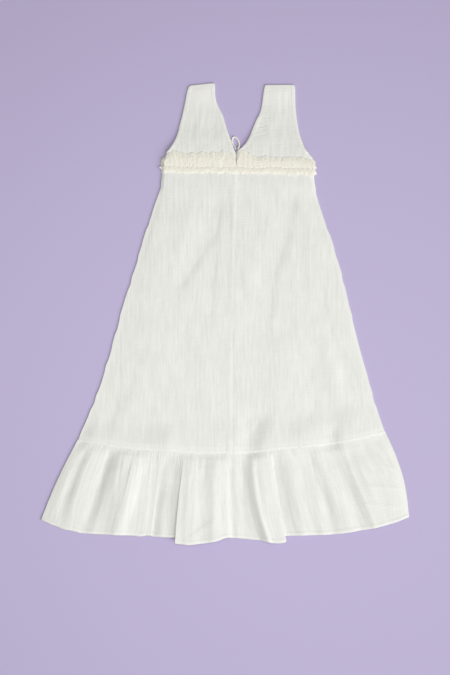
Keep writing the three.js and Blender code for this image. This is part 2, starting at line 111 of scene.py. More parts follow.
loop_route = smooth_route(LOOP_ROUTE, 5)
loop_curve = bpy.data.curves.new("muslin_loop", "CURVE")
loop_curve.dimensions = "3D"
loop_curve.bevel_depth = 1
loop_curve.bevel_resolution = 4
loop_curve.use_fill_caps = True
loop_line = loop_curve.splines.new("POLY")
loop_line.points.add(len(loop_route) - 1)
for point, place in zip(loop_line.points, loop_route):
    point.co = (*(place * MM), 1)
    point.radius = LOOP_DIAMETER / 2 * MM
loop = bpy.data.objects.new("muslin_loop", loop_curve)
bpy.context.scene.collection.objects.link(loop)
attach(loop, "root")
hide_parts("button_loop")
print("button loop:", round(route_length(loop_route), 1), "mm long")

# %% [markdown]
# ## Sizes of the dress
# These are the outlines of the cut pieces, in tables with named columns, one row for each level
# or each point of a seam. The shells have to sit where the model's walls are, so these numbers
# are the model's own.

# %% Tables of the outline
def table(columns, *rows):
    """A table as one array for each named column."""
    named = zip(columns.split(), zip(*rows))
    return {name: np.array(column, dtype=float) for name, column in named}


BODICE_LEFT = table(
    "y arm neck",
    (257, -108.5, 19), (273, -106, 19), (283.5, -101.5, 17.5), (290.5, -96, 15),
    (304.5, -87.5, 10.5), (318.5, -82, 5), (332.5, -79, 0.5), (346.5, -75, -3.5),
    (360.5, -72, -10.5), (374.5, -69, -16), (388.5, -66.5, -17.5), (398, -64, -17.5),
    (402, -59.5, -20),
)
BODICE_RIGHT = table(
    "y arm neck",
    (254, 156, 20.2), (273, 153, 20.2), (283.5, 144, 22), (290.5, 139, 29.8),
    (301, 135, 38.5), (311.5, 131, 43.8), (325.5, 128, 49), (339.5, 125.7, 55),
    (353.5, 124, 61.8), (367.5, 123, 64.8), (381.5, 122.7, 66.5), (395.5, 122.5, 68.8),
    (401, 120.5, 71),
)
SKIRT_EDGES = table(
    "y left right",
    (-223, -257.5, 284), (-208, -252.5, 280), (-168, -234.5, 266), (-126, -219, 254),
    (-63, -199.5, 236), (0, -182, 220.5), (63, -163, 206), (126, -143.5, 187),
    (189, -124, 166), (234.5, -111, 156), (258, -110, 155),
)
BACK_SEAM = table(
    "x y",
    (-257.5, -222.3), (-158, -235.6), (-100, -239.5), (-25, -243), (35, -242.5),
    (90, -236.5), (156, -231), (210, -223.5), (280, -208.3),
)
FRONT_SEAM = table(
    "x y",
    (-257.5, -222.3), (-130, -235.5), (10, -240), (150, -230), (280, -208.3),
)
CENTRE_SEAM = table("y x", (-245, 13.5), (-100, 14), (30, 15.5), (130, 19), (258, 24))
FRONT_HEM = table(
    "x y",
    (-320, -357), (-280, -372), (-195, -383.5), (-90, -386), (0, -387), (80, -386),
    (180, -383), (260, -370), (320, -353.5),
)
print("outline tables ready")

# %% [markdown]
# ## Reading the tables
# A curve through the rows has to turn only where the rows turn, or a straight side would ripple.
# A cubic whose slope at each row is the harmonic mean of the slopes beside it does that.
# Uneven cloth also needs smooth noise. Both work on whole arrays of points at once, because a
# shell has tens of thousands of them. A call of noise gives the place, then the two widths in
# millimetres over which it changes, across and along, and last a seed of its own.

# %% Curves, ramps and noise
def follow(rows, along, column, place):
    """Value of a column at a place between the rows of a table."""
    knots, values = rows[along], rows[column]
    steps = np.diff(values) / np.diff(knots)
    before = np.append(steps[0], steps)
    after = np.append(steps, steps[-1])
    turns = before * after <= 0
    total = np.where(turns, 1, before + after)
    slopes = np.where(turns, 0, 2 * before * after / total)
    i = np.clip(np.searchsorted(knots, place, side="right") - 1, 0, len(steps) - 1)
    width = knots[i + 1] - knots[i]
    t = np.clip((place - knots[i]) / width, 0, 1)
    rest = 1 - t
    ends = values[i] * (1 + 2 * t) * rest ** 2 + values[i + 1] * (3 - 2 * t) * t ** 2
    return ends + width * (slopes[i] * t * rest ** 2 - slopes[i + 1] * t ** 2 * rest)


def mix(start, end, share):
    return start + (end - start) * share


def ramp(value, low, high):
    """0 below low, 1 above high, and an even S between."""
    t = np.clip((value - low) / (high - low), 0, 1)
    return t * t * (3 - 2 * t)


def noise(x, y, step_x, step_y, seed):
    """Smooth noise from -1 to 1 that changes over step_x and step_y."""
    lattice = np.random.default_rng(seed).uniform(-1, 1, (128, 128))
    across, along = np.asarray(x) / step_x, np.asarray(y) / step_y
    i, j = np.floor(across).astype(int), np.floor(along).astype(int)
    s, t = ramp(across - i, 0, 1), ramp(along - j, 0, 1)
    near = mix(lattice[i % 128, j % 128], lattice[(i + 1) % 128, j % 128], s)
    far = mix(lattice[i % 128, (j + 1) % 128], lattice[(i + 1) % 128, (j + 1) % 128], s)
    return mix(near, far, t)


def pinched(x, y, step_x, step_y, seed):
    """Rounded folds with narrow valleys between them: 0 in a valley, up to 1 on a fold."""
    return np.abs(noise(x, y, step_x, step_y, seed)) ** 0.6


print("left side at the middle of the skirt:", follow(SKIRT_EDGES, "y", "left", np.array([0.0])))

# %% [markdown]
# ## How the layers lie on each other
# The gathered strip at the waist goes round the whole dress. Under the dress it is pressed flat,
# so the front panel climbs over it, and the back panel follows. Each function gives a height for
# a place on the floor, and every piece is laid by them, so that no piece cuts another.

# %% Heights of the layers
WALL = 1.2
SEAM_GAP = 0.3
CLOTH = 0.8
STRIP_PRESSED = 2.4
STRIP_UP = 32
STRIP_DOWN = 18
STRIP_RAMP = 22
SPAN_RAMP = 46
LAYER_GAP = 0.15
FOLD_START = 0.3
WAIST = table("x y", (-112, 257.5), (158, 254.5))
FRONT_FOLDS = table(
    "seam_x hem_x half_width height",
    (-226, -284, 22, 1.4), (-180, -233, 20, 1.8), (-143, -190, 20, 2.4), (-99, -114, 18, 2.2),
    (-56, -60, 19, 2.4), (-18, -20, 15, 1.6), (12, 22, 17, 2.1), (58, 76, 19, 1.8),
    (108, 137, 20, 2.4), (146, 176, 17, 1.7), (184, 222, 20, 2.0), (224, 270, 19, 1.6),
)


def waist_y(x):
    share = (x - WAIST["x"][0]) / (WAIST["x"][1] - WAIST["x"][0])
    return mix(WAIST["y"][0], WAIST["y"][1], share)


def back_seam_y(x):
    return follow(BACK_SEAM, "x", "y", x)


def front_seam_y(x):
    return follow(FRONT_SEAM, "x", "y", x)


def front_fold_height(x, y):
    top = front_seam_y(x)
    down = (top - y) / (top - follow(FRONT_HEM, "x", "y", x))
    height = np.zeros_like(x)
    for seam_x, hem_x, half_width, tall in zip(*FRONT_FOLDS.values()):
        middle = mix(seam_x, hem_x, np.clip(down, 0, 1))
        away = np.clip(np.abs(x - middle) / half_width, 0, 1)
        height += tall * np.cos(away * math.pi / 2) ** 2
    return height * ramp(down, 0, FOLD_START)


def strip_rise(x, y, slope):
    """Height that the pressed strip gives to the layers on it, with the length of its slopes."""
    above = y - waist_y(x)
    over_strip = ramp(above, -STRIP_DOWN - slope, -STRIP_DOWN)
    return (STRIP_PRESSED + SEAM_GAP) * over_strip * (1 - ramp(above, STRIP_UP, STRIP_UP + slope))


def front_rise(x, y):
    """Height of the underside of the front panels."""
    return strip_rise(x, y, STRIP_RAMP) + front_fold_height(x, y)


def back_middle(x, y):
    """Height of the middle of a back panel, which spans the strip in a longer slope."""
    return strip_rise(x, y, SPAN_RAMP) + front_fold_height(x, y) + WALL + CLOTH / 2 + LAYER_GAP


print("back panel lies", back_middle(np.zeros(1), np.zeros(1)), "mm over the floor")

# %% [markdown]
# ## Laying a shell
# A shell starts as a flat grid, made by an operator. Each of its points gets a place across the
# piece (u) and along it (v), and a function of the piece says where that point lies and how far
# the cloth is doubled there. Solidify then gives the cloth its thickness. The UV map holds the
# points in metres of cloth, so that the weave follows the grain, also through the folds.

# %% Shell builder
def link_object(name, data):
    piece = bpy.data.objects.new(name, data)
    bpy.context.scene.collection.objects.link(piece)
    return piece


def shape_grid(bm, name, lay, grain):
    """Moves a unit grid's points to where lay(u, v) puts them and keeps the grain as a UV map."""
    mesh = bpy.data.meshes.new(name)
    bm.to_mesh(mesh)
    bm.free()
    flat = np.empty(len(mesh.vertices) * 3)
    mesh.vertices.foreach_get("co", flat)
    u, v = flat[0::3] + 0.5, flat[1::3] + 0.5
    x, y, z, doubled = lay(u, v)
    places = np.stack((x, y, z), axis=1) * MM
    mesh.vertices.foreach_set("co", places.ravel())
    shares = mesh.attributes.new("doubled", "FLOAT", "POINT")
    shares.data.foreach_set("value", doubled * np.ones_like(u))
    corners = np.empty(len(mesh.loops), dtype=int)
    mesh.loops.foreach_get("vertex_index", corners)
    cloth = np.stack(grain(u, v), axis=1) * MM
    mesh.uv_layers.new(name="cloth").data.foreach_set("uv", cloth[corners].ravel())
    mesh.polygons.foreach_set("use_smooth", np.ones(len(mesh.polygons), dtype=bool))
    mesh.update()
    return mesh


def cloth_shell(name, columns, rows, lay, grain, thickness=CLOTH):
    """A shell of cloth with its faces up and both its sides closed."""
    bm = bmesh.new()
    bmesh.ops.create_grid(bm, x_segments=columns, y_segments=rows, size=0.5)
    mesh = shape_grid(bm, name, lay, grain)
    directions = np.empty(len(mesh.polygons) * 3)
    mesh.polygons.foreach_get("normal", directions)
    if directions[2::3].mean() < 0:
        mesh.flip_normals()
    piece = link_object(name, mesh)
    wall = piece.modifiers.new("cloth_thickness", "SOLIDIFY")
    wall.thickness = thickness * MM
    wall.offset = 0
    print(name, "has", len(mesh.polygons) * 4, "triangles and its edges")
    return piece


def declare(piece, node, area=None):
    """Hangs a shell on the root and hides the model's piece that it stands for; the area is not
    used.
    """
    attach(piece, "root")
    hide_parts(node)
    area = area * MM * MM if area else None


# %% [markdown]
# ## Creases
# Muslin keeps soft creases from being folded and carried. Each one is a row that runs down the
# dress: where it starts and ends, how far it bows to the right, how wide it is on its left
# (west) and right (east), and its height, which is negative for a trough. The front lies under
# the back, so its creases are few and plain.

# %% Creases
CREASE_COLUMNS = "from_x from_y to_x to_y bow west east height"
BACK_CREASES = table(
    CREASE_COLUMNS,
    (-8, 204, -25, 122, 0, 24, 10, -1.7), (-27, 136, -92, 38, 3, 24, 10, -1.6),
    (-18, 118, -27, -14, 0, 15, 6, -0.8), (126, 226, 112, 158, 0, 22, 9, -1.3),
    (114, 166, 84, 70, 0, 24, 10, -1.6), (86, 84, 68, -46, 0, 22, 9, -1.2),
    (98, -40, 104, -178, 0, 32, 30, 1.8), (178, -12, 196, -164, 0, 14, 12, 1.2),
    (165, 64, 191, -54, -2, 14, 6, -1.0), (190, -48, 236, -150, 3, 16, 7, -1.3),
    (-196, -138, -209, -208, 0, 14, 16, -1.4), (-105, 240, -138, 92, 0, 6, 14, 0.8),
    (47, -172, 52, -262, 0, 26, 18, -2.6), (184, -196, 194, -258, 0, 24, 13, -2.4),
    (-101, -196, -101, -262, 0, 10, 11, 0.9), (-146, -60, -178, -150, 0, 18, 10, -0.6),
    (-70, -20, -78, -130, 2, 18, 8, -0.5), (36, 150, 40, 20, -2, 9, 16, 0.5),
    (-60, 190, -76, 100, 0, 16, 9, 0.6), (58, 140, 44, 40, 0, 12, 12, 0.5),
    (132, 120, 140, 20, 2, 14, 8, -0.6), (-35, -70, -24, -190, 0, 16, 11, 0.6),
    (14, 226, 18, 130, 0, 6, 8, 0.7), (17, 110, 15, -80, 0, 6, 8, 0.6),
)
FRONT_CREASES = table(
    CREASE_COLUMNS,
    (-60, 180, -90, 20, 0, 12, 12, 0.9), (40, 200, 30, 40, 0, 10, 10, 0.7),
    (110, 150, 160, -40, 0, 12, 12, 0.8), (-150, -20, -200, -190, 0, 12, 12, 0.9),
    (0, -30, -10, -200, 0, 14, 14, 0.7), (150, -80, 210, -200, 0, 10, 10, 0.8),
)
BODICE_CREASES = table(
    CREASE_COLUMNS,
    (-44, 368, -53, 322, 0, 4, 4, -0.2), (-31, 362, -42, 314, 0, 3, 5, -0.3),
    (-23, 354, -29, 316, 0, 4, 3, -0.2), (-53, 342, -61, 298, 0, 7, 5, -0.4),
    (-20, 340, -17, 304, 0, 6, 5, -0.5), (98, 399, 99, 340, 0, 4, 4, -0.5),
    (109, 393, 110, 338, 0, 3, 4, -0.3), (104, 347, 115, 298, 0, 7, 5, -0.5),
    (78, 339, 52, 332, 0, 2.6, 2.6, -0.3), (79, 333, 50, 324, 0, 2.4, 2.4, -0.35),
    (75, 325, 48, 316, 0, 2.4, 2.4, -0.3), (73, 315, 46, 308, 0, 2.6, 2.6, -0.25),
    (81, 346, 58, 341, 0, 2.4, 2.4, -0.25), (86, 332, 93, 294, 0, 8, 6, -0.5),
)


def crease_height(x, y, creases):
    """Height of all the creases together: each is a soft band that fades at its ends."""
    height = np.zeros_like(x)
    for from_x, from_y, to_x, to_y, bow, west, east, tall in zip(*creases.values()):
        length = math.hypot(to_x - from_x, to_y - from_y)
        dx, dy = (to_x - from_x) / length, (to_y - from_y) / length
        along = ((x - from_x) * dx + (y - from_y) * dy) / length
        away = (y - from_y) * dx - (x - from_x) * dy
        away = away - bow * np.sin(math.pi * np.clip(along, 0, 1))
        ends = ramp(along, -0.12, 0.28) * (1 - ramp(along, 0.72, 1.12))
        height += tall * ends * np.exp(-(away / np.where(away > 0, east, west)) ** 2)
    return height


print("creases on the back skirt:", len(BACK_CREASES["height"]))

# %% [markdown]
# ## Crinkle and turned edges
# Washed gauze is never smooth: it has long fine ripples with the grain, shorter ones across, and
# slow swells. Every cut edge is turned or bound, so it is a little thicker, puckers, sinks along
# the stitches, and rounds at the rim. The hidden front needs only a plain form of both.

# %% Crinkle and edge shapes
CRINKLE_BASE = 0.15
CRINKLE_ALONG = 0.08
CRINKLE_ACROSS = 0.05
CRINKLE_SWELL = 0.16
HIDDEN_CRINKLE = 0.12
EDGE_WIDTH = 7
EDGE_LIFT = 0.35
HIDDEN_EDGE_LIFT = 0.3
EDGE_PUCKER = 0.18
STITCH_DIP = 0.14
STITCH_DIP_WIDTH = 1.1
RIM_ROLL = 0.55
RIM_ROLL_WIDTH = 1.6
EDGE_DOUBLED = 0.3


def crinkle(x, y, seed):
    """The surface of washed gauze: long fine ripples with the grain, short ones across."""
    along = 0.7 * noise(x, y, 5, 34, seed) + 0.9 * noise(x, y, 11, 60, seed + 1)
    across = noise(x, y, 22, 5.5, seed + 2)
    swell = noise(x, y, 30, 60, seed + 3)
    return CRINKLE_BASE + CRINKLE_ALONG * along + CRINKLE_ACROSS * across + CRINKLE_SWELL * swell


def hidden_crinkle(x, y, seed):
    return HIDDEN_CRINKLE * (1 + noise(x, y, 5, 45, seed))


def inside_edge(distance):
    """1 on a turned edge and 0 past its stitches."""
    return 1 - ramp(distance, EDGE_WIDTH - 1, EDGE_WIDTH + 1)


def turned_edge(distance, along, seed):
    """Height that a turned edge adds, by its distance from the rim."""
    pucker = EDGE_PUCKER * noise(along, distance, 4, 9, seed) * inside_edge(distance)
    stitches = -STITCH_DIP * np.exp(-((distance - EDGE_WIDTH) / STITCH_DIP_WIDTH) ** 2)
    roll = -RIM_ROLL * (1 - ramp(distance, 0, RIM_ROLL_WIDTH))
    return EDGE_LIFT * inside_edge(distance) + pucker + stitches + roll


def turned_share(distance):
    """How far the cloth is doubled by a turned edge."""
    return EDGE_DOUBLED * (1 - ramp(distance, EDGE_WIDTH - 1.5, EDGE_WIDTH + 0.5))


print("a turned edge is", EDGE_WIDTH, "mm wide")

# %% [markdown]
# ## The skirt
# The back skirt is two flared panels with a seam down the middle. Its allowances are pressed to
# the left under the cloth, where they show as a low band beside the stitching. Below the strip
# the cloth is full of small gathers that fade within a hand's width, and above the flounce it
# climbs over the turned allowances of that seam, which lie more proud in some places than in
# others. The sides meet the front panel.

# %% Seams at the sides and over the flounce
SEAM_RISE = 3.2
SEAM_TOP = 12
SEAM_TOP_SPREAD = 6
SEAM_SLOPE = 60
SEAM_SLOPE_SPREAD = 16
SEAM_FALL = 34
MEETING_HEIGHT = WALL + SEAM_GAP / 2
MEETING_WIDTH = 7
SIDE_WANDER = 1.1
SEAM_PROUD = table(
    "x share",
    (-258, 0.8), (-180, 0.9), (-112, 1.15), (-90, 1.1), (-40, 0.75), (16, 0.65), (38, 0.3),
    (67, 1.55), (100, 1.4), (140, 1.3), (165, 1.05), (184, 0.7), (206, 1.3), (280, 0.9),
)


def flounce_seam_rise(x, y, from_side):
    """The climb over the seam's allowances: a long uneven slope above it, a short one below."""
    above = y - back_seam_y(x)
    uneven = noise(x, 0 * x, 28, 1, 15)
    top = SEAM_TOP + SEAM_TOP_SPREAD * uneven
    foot = SEAM_SLOPE + SEAM_SLOPE_SPREAD * uneven
    over = 1 - ramp(above, top, foot)
    under = 1 - ramp(-above, 0, SEAM_FALL)
    proud = SEAM_RISE * follow(SEAM_PROUD, "x", "share", x)
    return proud * np.where(above > 0, over, under) * ramp(from_side, 0, 0.05)


def meet_at_side(height, distance, is_back):
    """Brings a panel to the height where front and back are sewn together."""
    edge = MEETING_HEIGHT + (CLOTH / 2 if is_back else -CLOTH / 2)
    return mix(edge, height, ramp(distance, 0, MEETING_WIDTH) ** 0.5)


def skirt_plan(across, down, seam_line):
    """Where a point of a skirt panel lies on the floor, and how wide the skirt is there."""
    left_y = mix(waist_y(SKIRT_EDGES["left"][-1]), BACK_SEAM["y"][0], down)
    right_y = mix(waist_y(SKIRT_EDGES["right"][-1]), BACK_SEAM["y"][-1], down)
    wander = SIDE_WANDER * (ramp(down, 0, 0.1) * (1 - ramp(down, 0.9, 1)))
    left = follow(SKIRT_EDGES, "y", "left", left_y) + wander * noise(left_y, 0 * left_y, 13, 1, 3)
    right = follow(SKIRT_EDGES, "y", "right", right_y)
    right = right + wander * noise(right_y, 0 * right_y, 15, 1, 4)
    x = mix(left, right, across)
    seam_x = mix(BACK_SEAM["x"][0], BACK_SEAM["x"][-1], across)
    y = mix(waist_y(x) - SEAM_GAP / 2, seam_line(seam_x), down)
    return x, y, right - left


print("the seams rise by", SEAM_RISE, "mm")

# %% Gathers and relief of the skirt
SIDE_RISE = 1.5
GATHER_HEIGHT = 0.75
GATHER_LENGTH = 60
GATHER_SPREAD = 40
HELD_GATHERS = 0.2


def waist_gathers(x, y, seed):
    """Small gathers that run down from the strip, uneven in length and height."""
    below = np.clip(waist_y(x) - y, 0, None)
    length = GATHER_LENGTH + GATHER_SPREAD * noise(x, y * 0, 14, 1, seed)
    folds = pinched(x, y, 5.5, 160, seed + 1) + 0.6 * pinched(x, y, 3.1, 90, seed + 2)
    return GATHER_HEIGHT * (folds - 0.6) * np.exp(-below / length)


def skirt_relief(x, y, across):
    """All that lifts the back skirt: its fullness, creases, lower seam and gathers."""
    from_side = np.minimum(across, 1 - across)
    held = ramp(waist_y(x) - y - STRIP_DOWN, 0, SPAN_RAMP)
    creases = crease_height(x, y, BACK_CREASES) * ramp(from_side, 0, 0.05)
    relief = (SIDE_RISE * ramp(from_side, 0, 0.12) + creases) * held
    relief = relief + flounce_seam_rise(x, y, from_side)
    gathers = waist_gathers(x, y, 41) * (HELD_GATHERS + (1 - HELD_GATHERS) * held)
    return np.clip(relief, 0, None) + gathers


print("gathers below the waist are about", GATHER_LENGTH, "mm long")

# %% Panels of the skirt
FINER_AT_SIDES = 0.45
SEAM_ALLOWANCE = 9
SEAM_TUCK = 1.5
ALLOWANCE_LIFT = 0.4
GROOVE_DEPTH = 0.12
GROOVE_WIDTH = 3.2
TUCK_DROP = 0.8
BOTTOM_STEP = 0.2
HIDDEN_CREASES = 0.35


def centre_share(down):
    """How far across the skirt its centre seam lies, and how wide the skirt is there."""
    left_x, left_y, width = skirt_plan(0 * down, down, back_seam_y)
    middle_y = skirt_plan(0 * down + 0.5, down, back_seam_y)[1]
    return (follow(CENTRE_SEAM, "y", "x", middle_y) - left_x) / width, width


def lay_back_skirt(is_left):
    """A back panel: the left one runs a little way under the right one at the centre seam."""
    def lay(u, v):
        u = mix(u, 0.5 - 0.5 * np.cos(math.pi * u), FINER_AT_SIDES)
        centre, width = centre_share(v)
        across = u * (centre + SEAM_TUCK / width) if is_left else mix(centre, 1, u)
        x, y, width = skirt_plan(across, v, back_seam_y)
        z = back_middle(x, y) + skirt_relief(x, y, across) + crinkle(x, y, 5)
        from_seam = (across - centre) * width
        band = np.exp(-((from_seam / SEAM_ALLOWANCE + 0.55) / 0.5) ** 2) * is_left
        groove = np.exp(-(from_seam / GROOVE_WIDTH) ** 2)
        tucked = ramp(from_seam, -0.4, 0.9) * is_left
        z = z + ALLOWANCE_LIFT * band - GROOVE_DEPTH * groove - TUCK_DROP * tucked
        from_bottom = y - back_seam_y(x)
        z = z + BOTTOM_STEP * (1 - ramp(from_bottom, 8, 16))
        z = z - BOTTOM_STEP * (1 - ramp(from_bottom, -1, 8))
        from_side = np.minimum(across, 1 - across) * width
        doubled = EDGE_DOUBLED * np.maximum(band, 1 - ramp(from_bottom, 9, 13))
        doubled = np.maximum(doubled, turned_share(from_side))
        return x, y, meet_at_side(z, from_side, True), doubled
    return lay


def lay_front_skirt(u, v):
    x, y, width = skirt_plan(u, v, front_seam_y)
    from_side = np.minimum(u, 1 - u) * width
    relief = np.clip(crease_height(x, y, FRONT_CREASES), 0, None) * ramp(from_side, 4, 30)
    z = front_rise(x, y) + CLOTH / 2 + HIDDEN_CREASES * relief + hidden_crinkle(x, y, 61)
    return x, y, meet_at_side(z, from_side, False), turned_share(from_side)


def floor_grain(lay):
    """For a piece that lies flat, the weave is as long as the piece is on the floor."""
    def grain(u, v):
        return lay(u, v)[:2]
    return grain


print("the skirt's shapes are ready")

# %% [markdown]
# ## The bodice
# Each half of the bodice is cut in one piece with its strap. The armhole and the neck have a
# narrow turned edge, and the shoulder is where back and front meet. Below the armhole the side
# seam joins the two.

# %% Shape of the bodice
BODICE_SWELL = 0.9
BODICE_CRINKLE = 0.8
BODICE_EDGE = 0.7
UNDER_STRIP_LIFT = 0.35
BODICE_GATHERS = 0.5
STRAP_DOUBLED = 0.75
UNDERARM_Y = 284
STRAP_SLANT = {"left": 2.2, "right": 0.2}
NECK_INSET = 1.2


def bodice_plan(edges, is_back, u, v):
    """Where a point lies on the floor, its distances from the edges and its share across."""
    arm_is_left = edges["arm"][0] < edges["neck"][0]
    across = u if arm_is_left else 1 - u
    bottom = waist_y(edges["arm"][0]) + SEAM_GAP / 2
    level = mix(bottom, edges["y"][-1], v)
    arm = follow(edges, "y", "arm", level)
    neck = follow(edges, "y", "neck", level)
    if not is_back:
        neck = neck + (1 if arm_is_left else -1) * NECK_INSET * (1 - ramp(level, 284, 288))
    x = mix(arm, neck, across)
    y = level + (waist_y(x) - waist_y(edges["arm"][0])) * (1 - v)
    slant = STRAP_SLANT["left" if arm_is_left else "right"]
    y = y + slant * (2 * u - 1) * ramp(v, 0.85, 1)
    width = np.abs(neck - arm)
    return x, y, level, across, across * width, (1 - across) * width


def back_bodice_height(x, y, from_top, across, rim, seed):
    """The back spans the strip, swells between its edges and gathers a little at the waist."""
    above = y - waist_y(x)
    flare = ramp(above - STRIP_UP, 0, STRIP_RAMP) * ramp(from_top, 0, 14)
    z = back_middle(x, y) + BODICE_SWELL * np.sin(math.pi * across) * flare
    z = z + crease_height(x, y, BODICE_CREASES) * ramp(rim, 5, 12)
    z = z + BODICE_CRINKLE * crinkle(x, y, seed)
    z = z + UNDER_STRIP_LIFT * (1 - ramp(above, 28, 44))
    fade = np.exp(-np.clip(above - 20, 0, None) / 16)
    z = z + BODICE_GATHERS * (pinched(x, y, 4, 60, seed + 7) - 0.5) * fade
    return z + BODICE_EDGE * turned_edge(rim, y, seed) * ramp(above, 20, 30)


def lay_bodice(edges, is_back, seed):
    def lay(u, v):
        x, y, level, across, from_arm, from_neck = bodice_plan(edges, is_back, u, v)
        from_top = edges["y"][-1] - level
        rim = np.minimum(from_arm, from_neck)
        if is_back:
            z = back_bodice_height(x, y, from_top, across, rim, seed)
        else:
            z = front_rise(x, y) + CLOTH / 2 + hidden_crinkle(x, y, seed)
            z = z + HIDDEN_EDGE_LIFT * inside_edge(rim)
        z = meet_at_side(z, from_top, is_back)
        sewn = 1 - ramp(y, UNDERARM_Y - 6, UNDERARM_Y)
        z = mix(z, meet_at_side(z, from_arm, is_back), sewn)
        doubled = np.maximum(turned_share(rim), STRAP_DOUBLED * ramp(level, 345, 380))
        return x, y, z, doubled
    return lay


print("the bodice's shape is ready")

# %% [markdown]
# ## The flounce
# The flounce is a strip that is longer than the seam it hangs from, so it lies in folds. A row
# of this table is one line of cloth from the seam to the hem: where it starts and ends, and how
# high it lies at the seam, in the middle and at the hem. Two folds have tipped over, so there
# the rows run back on themselves: the lip lies outside the cloth under it. The rows are finer
# than the folds of the model's wall. Near the seam the fullness shows as many small gathers, and
# the top is tucked under the skirt's turned edge.

# %% Folds of the flounce
BACK_FOLDS = table(
    "seam_x seam_z middle_z hem_x hem_y hem_z bow",
    (-257.5, 0, 0, -322, -359, 0, -3),
    (-241, 0.8, 1.5, -303, -369, 1.2, -8),
    (-235, 0.5, 0.7, -289, -374, 0.6, -7),
    (-224, 2.0, 2.5, -273, -378.5, 2.0, -6),
    (-212, 1.5, 2.4, -262, -381, 1.8, -1),
    (-205, 1.2, 1.4, -252, -382.5, 1.1, 0),
    (-197, 0.4, 0.6, -242, -383.5, 0.5, 0),
    (-170, 5.6, 6.8, -205, -386, 3.2, 1),
    (-153, 4.2, 6.2, -189, -387, 3.3, 1),
    (-137, 2.5, 3.8, -159, -388, 1.8, 0),
    (-125, 1.7, 3.1, -145, -388, 1.8, 0),
    (-119, 1.3, 2.3, -138, -388, 1.5, 0),
    (-111, 1.7, 2.0, -131, -388.5, 1.4, -1),
    (-98, 0.5, 0.3, -123, -389, 0.4, -2),
    (-84, 1.9, 3.7, -96, -390, 3.3, -2),
    (-73, 3.8, 6.7, -79, -391, 6.0, -2),
    (-69, 4.6, 7.5, -87.5, -399, 7.4, -2),
    (-60, 4.4, 6.5, -72, -402.5, 6.5, 0),
    (-50, 3.6, 5.2, -60, -402.5, 5.3, -1),
    (-17, 4.2, 6.1, -17, -397.5, 6.1, -1),
    (-3, 3.3, 4.7, 4, -391.5, 4.7, 0),
    (9, 1.0, 0.3, 19, -391, 0.9, 0),
    (33, 1.0, 2.0, 58, -395, 2.0, -8),
    (47, 3.0, 6.9, 76, -399, 6.0, -7),
    (55, 1.6, 4.4, 84, -400.5, 3.8, -5),
    (73, 2.7, 4.3, 98, -399.5, 5.4, -2),
    (79, 1.8, 2.8, 107, -396, 4.2, -2),
    (80, 0.9, 1.4, 98.5, -390, 2.2, -2),
    (84, 0.5, 0.7, 108, -388, 1.0, -2),
    (95, 1.8, 2.5, 128, -387, 2.0, -2),
    (124, 2.1, 2.8, 163, -386.5, 2.4, 0),
    (142, 0.8, 1.2, 186, -386, 1.2, 1),
    (157, 2.8, 4.6, 208, -383.5, 3.6, 2),
    (182, 0.8, 0.8, 238, -378, 1.0, -2),
    (201, 2.0, 5.8, 262, -373, 4.0, -1),
    (208, 1.6, 4.4, 271, -371, 3.0, 0),
    (248, 1.5, 3.2, 300, -364, 2.8, 7),
    (280, 0, 0, 322, -355.5, 0, 9),
)
BACK_FOLDS["order"] = np.arange(len(BACK_FOLDS["bow"]), dtype=float)
FLOUNCE_CREASES = table(
    CREASE_COLUMNS,
    (-14, -355, -68, -394, 0, 3, 14, 0.7), (-35, -246, -35, -290, 0, 2, 2, -0.8),
    (-46, -246, -48, -280, 0, 2, 2, -0.5), (88, -244, 110, -352, 3, 6, 5, -0.6),
    (12, -248, 14, -300, 0, 3, 3, -0.5), (29, -248, 33, -310, 0, 3, 3, -0.5),
    (148, -240, 160, -300, 0, 3, 3, -0.5), (-152, -246, -166, -330, 0, 2, 3, -0.5),
    (-178, -246, -189, -310, 0, 2, 2, -0.7), (-158, -246, -176, -320, 0, 1.6, 1.6, 0.5),
    (262, -240, 305, -318, 6, 3, 5, 0.7), (225, -232, 262, -262, 0, 3, 4, 0.6),
    (248, -300, 316, -306, 0, 3, 4, 0.6), (240, -330, 308, -338, 0, 3, 3, 0.5),
    (262, -262, 300, -272, 0, 3, 3, 0.5),
)
print("folds in the back flounce:", len(BACK_FOLDS["bow"]))

# %% Relief of the flounce
FOLD_GAIN = 1.2
FOLD_AT_SEAM = 0.35
FLOUNCE_GATHERS = 0.65


def finer_at_seam(v):
    """Moves the shell's rows towards the seam, where the gathers are small."""
    return mix(v, v ** 1.6, 0.5)


def flounce_gathers(along, down):
    """Gathers that leave the seam and run out, with narrow valleys between rounded folds."""
    length = 30 + 26 * noise(along, down * 0, 17, 1, 77)
    fade = ramp(down, 2, 7) * np.exp(-down / np.clip(length, 7, None))
    folds = pinched(along + 0.05 * down, down, 6.2, 90, 71)
    folds = folds + 0.5 * pinched(along, down, 3.3, 60, 72)
    return FLOUNCE_GATHERS * fade * (folds - 0.55)


def fold_value(column, order):
    return follow(BACK_FOLDS, "order", column, order)


def fold_relief(order, v):
    """Height of the folds: a parabola through each row's heights at seam, middle and hem."""
    at_seam = fold_value("seam_z", order) * (1 - v) * (1 - 2 * v)
    at_middle = fold_value("middle_z", order) * 4 * v * (1 - v)
    at_hem = fold_value("hem_z", order) * v * (2 * v - 1)
    relief = FOLD_GAIN * np.clip(at_seam + at_middle + at_hem, 0, None)
    return relief * mix(FOLD_AT_SEAM, 1, ramp(v, 0, 0.22))


print("height of the middle of the highest fold:", FOLD_GAIN * BACK_FOLDS["middle_z"].max(), "mm")

# %% Shape of the flounce
TUCK = 3
TUCK_FADE = 14
HANGING_DEPTH = 0.75
LAYER_SINK = 0.2
SIDE_GATHERS = 0.3
FLOUNCE_DEPTH = 158
FLOUNCE_CUT_WIDTH = 740


